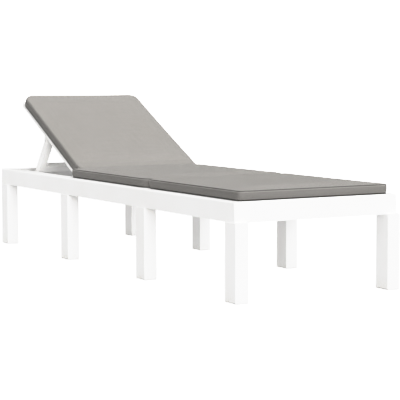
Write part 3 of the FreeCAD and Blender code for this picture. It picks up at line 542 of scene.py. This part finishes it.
def back_fold():
    """The padded fold where the seat panel's cover runs up into the back panel's, with its wedge below."""
    back_low, back_high = local_box("back_cushion", BACK)
    seat_high = local_box("seat_cushion", BED)[1]
    half = back_high.x - 1.5 * MM
    seat_y = seat_high.y - 34 * MM
    back_y = back_low.y + 16 * MM
    tuck = 0.7 * MM
    margin = 12 * MM
    rounding = 9 * MM
    end_drop = 3.5 * MM
    columns = 61
    steps = 14
    rows = []
    for column in range(columns):
        x = half * (2 * column / (columns - 1) - 1)
        held = max(-half + margin, min(half - margin, x))
        start = Vector((x, seat_y, top_of(seat_surface, held, seat_y) - tuck))
        end = BACK @ Vector((x, back_y, top_of(back_surface, held, back_y) - tuck))
        end.x = x
        crease = Vector((x, HINGE.y - 17 * MM, start.z + 2.0 * MM))
        start_pull = start.lerp(crease, 0.75)
        end_pull = end.lerp(crease, 0.8)
        side = min(1.0, (half - abs(x)) / rounding)
        drop = Vector((0, 0, end_drop * (1 - math.sqrt(max(0.0, 1 - (1 - side) ** 2)))))
        top = [bezier(start, start_pull, end_pull, end, i / steps) - drop for i in range(steps + 1)]
        wedge = [
            BACK @ Vector((x, back_y - 3 * MM, back_high.z - 12 * MM)),
            Vector((x, HINGE.y + 9 * MM, seat_high.z - 14 * MM)),
            Vector((x, HINGE.y - 10 * MM, seat_high.z - 10 * MM)),
            Vector((x, seat_y + 6 * MM, seat_high.z - 6 * MM)),
        ]
        rows.append(top + wedge)
    made = new_piece("back_fold", lambda shape: skin(shape, rows, capped=True), [FABRIC])
    finer = made.modifiers.new("finer", "SUBSURF")
    finer.levels = finer.render_levels = 1
    settle_modifiers(made)
    made.data.shade_smooth()
    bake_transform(made)


def split_strip():
    """The strip of cover that joins the foot and seat panels at the bottom of their crease."""
    foot_high = local_box("foot_cushion", BED)[1]
    seat_low = local_box("seat_cushion", BED)[0]
    half = foot_high.x - 66 * MM
    middle = (foot_high.y + seat_low.y) / 2
    rim = foot_high.z - 4 * MM
    reach = 7 * MM
    thickness = 1.2 * MM
    columns = 41
    steps = 10
    rows = []
    for column in range(columns):
        x = half * (2 * column / (columns - 1) - 1)
        sag = 7 * MM + 0.8 * MM * noise.noise(Vector((x * 30, 0, 2)))
        top = []
        for i in range(steps + 1):
            share = 2 * i / steps - 1
            top.append(Vector((x, middle + reach * share, rim - sag * (1 - share ** 2))))
        under = [point - Vector((0, 0, thickness)) for point in reversed(top)]
        rows.append(top + under)
    # The strip takes the darkened band cloth: painted shade down in the crease.
    made = new_piece("split_strip", lambda shape: skin(shape, rows, capped=True), [SHADED_BAND_FABRIC])
    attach(made, "frame")


back_fold()
split_strip()

# ---- floor, light and camera ---------------------------------------------------------------------

WHITE_LEVEL = 2.2
FLOOR_SHOWN = 2.4
FLOOR_GLOW = 0.18
BACKDROP = 3.0
SURROUND = 0.38
# Light levels and the shares of full white that they are shown at.
SHOULDER = ((0.2, 0.2), (0.45, 0.45), (0.65, 0.67), (0.8, 0.83), (1.05, 0.915), (1.5, 0.95), (1.85, 0.965))


def camera_only(tree):
    """One where the camera looks at a surface directly, and nought for light that lands on it."""
    return tree.nodes.new("ShaderNodeLightPath").outputs["Is Camera Ray"]


def floor():
    """A plain pale floor, seen as white, as on a lit table."""
    made = new_piece(
        "floor", lambda shape: bmesh.ops.create_grid(shape, x_segments=4, y_segments=4, size=40), ()
    )
    recipe = Recipe("studio floor")
    tone = recipe.blend(recipe.range(recipe.noise(2, 2), 0.3, 0.7, 0, 1), grey(0.23), grey(0.22))
    recipe.set(Base_Color=tone, Roughness=0.9, Specular_IOR_Level=0.1, Emission_Color=(1, 1, 1, 1))
    seen = recipe.sums("MULTIPLY", camera_only(recipe.tree), FLOOR_SHOWN)
    recipe.set(Emission_Strength=recipe.sums("ADD", seen, FLOOR_GLOW))
    made.data.materials.append(recipe.material)


def sun(name, towards, energy, spread):
    """A distant lamp that shines from a direction; its spread sets how soft its shadows are."""
    lamp = bpy.data.lights.new(name, "SUN")
    lamp.energy = energy
    lamp.angle = math.radians(spread)
    holder = bpy.data.objects.new(name, lamp)
    holder.rotation_euler = Vector(towards).to_track_quat("Z", "Y").to_euler()
    bpy.context.scene.collection.objects.link(holder)


def lights():
    """A soft key from above, and low lights from the near side and the foot end."""
    sun("key", (0.04, -0.48, 0.87), 3.6, 50)
    sun("side", (-1.0, -0.6, 0.08), 1.2, 9)
    sun("front", (-0.12, -1.0, 0.06), 3.9, 28)


def surroundings():
    """Light from all round, with a white backdrop that only the camera sees."""
    world = bpy.data.worlds.new("studio")
    world.use_nodes = True
    tree = world.node_tree
    surround = tree.nodes["Background"]
    surround.inputs["Strength"].default_value = SURROUND
    surround.inputs["Color"].default_value = (1, 1, 1, 1)
    backdrop = tree.nodes.new("ShaderNodeBackground")
    backdrop.inputs["Strength"].default_value = BACKDROP
    backdrop.inputs["Color"].default_value = (1, 1, 1, 1)
    either = tree.nodes.new("ShaderNodeMixShader")
    tree.links.new(camera_only(tree), either.inputs[0])
    tree.links.new(surround.outputs[0], either.inputs[1])
    tree.links.new(backdrop.outputs[0], either.inputs[2])
    tree.links.new(either.outputs[0], tree.nodes["World Output"].inputs["Surface"])
    bpy.context.scene.world = world


def exposure():
    """Plain colours with a soft shoulder, so that lit white plastic keeps its shading."""
    view = bpy.context.scene.view_settings
    view.view_transform = "Standard"
    view.use_curve_mapping = True
    view.curve_mapping.white_level = (WHITE_LEVEL,) * 3
    curve = view.curve_mapping.curves[3]
    curve.points[-1].location = (1, 1)
    for light, shown in SHOULDER:
        curve.points.new(light / WHITE_LEVEL, shown)
    view.curve_mapping.update()


def camera():
    """The view from the left of the foot end, a little above the cushion."""
    place = (-2.534, -4.615, 0.696)
    turn = math.radians(29.81)
    dip = math.radians(4.96)
    roll = math.radians(-0.10)
    data = bpy.data.cameras.new("camera")
    data.sensor_width = 36
    data.lens = 125.8
    data.clip_end = 100
    made = bpy.data.objects.new("camera", data)
    heading = Matrix.Rotation(-turn, 4, "Z") @ Matrix.Rotation(math.pi / 2 - dip, 4, "X")
    made.matrix_world = Matrix.Translation(place) @ heading @ Matrix.Rotation(roll, 4, "Z")
    bpy.context.scene.collection.objects.link(made)
    bpy.context.scene.camera = made


floor()
lights()
surroundings()
camera()
exposure()
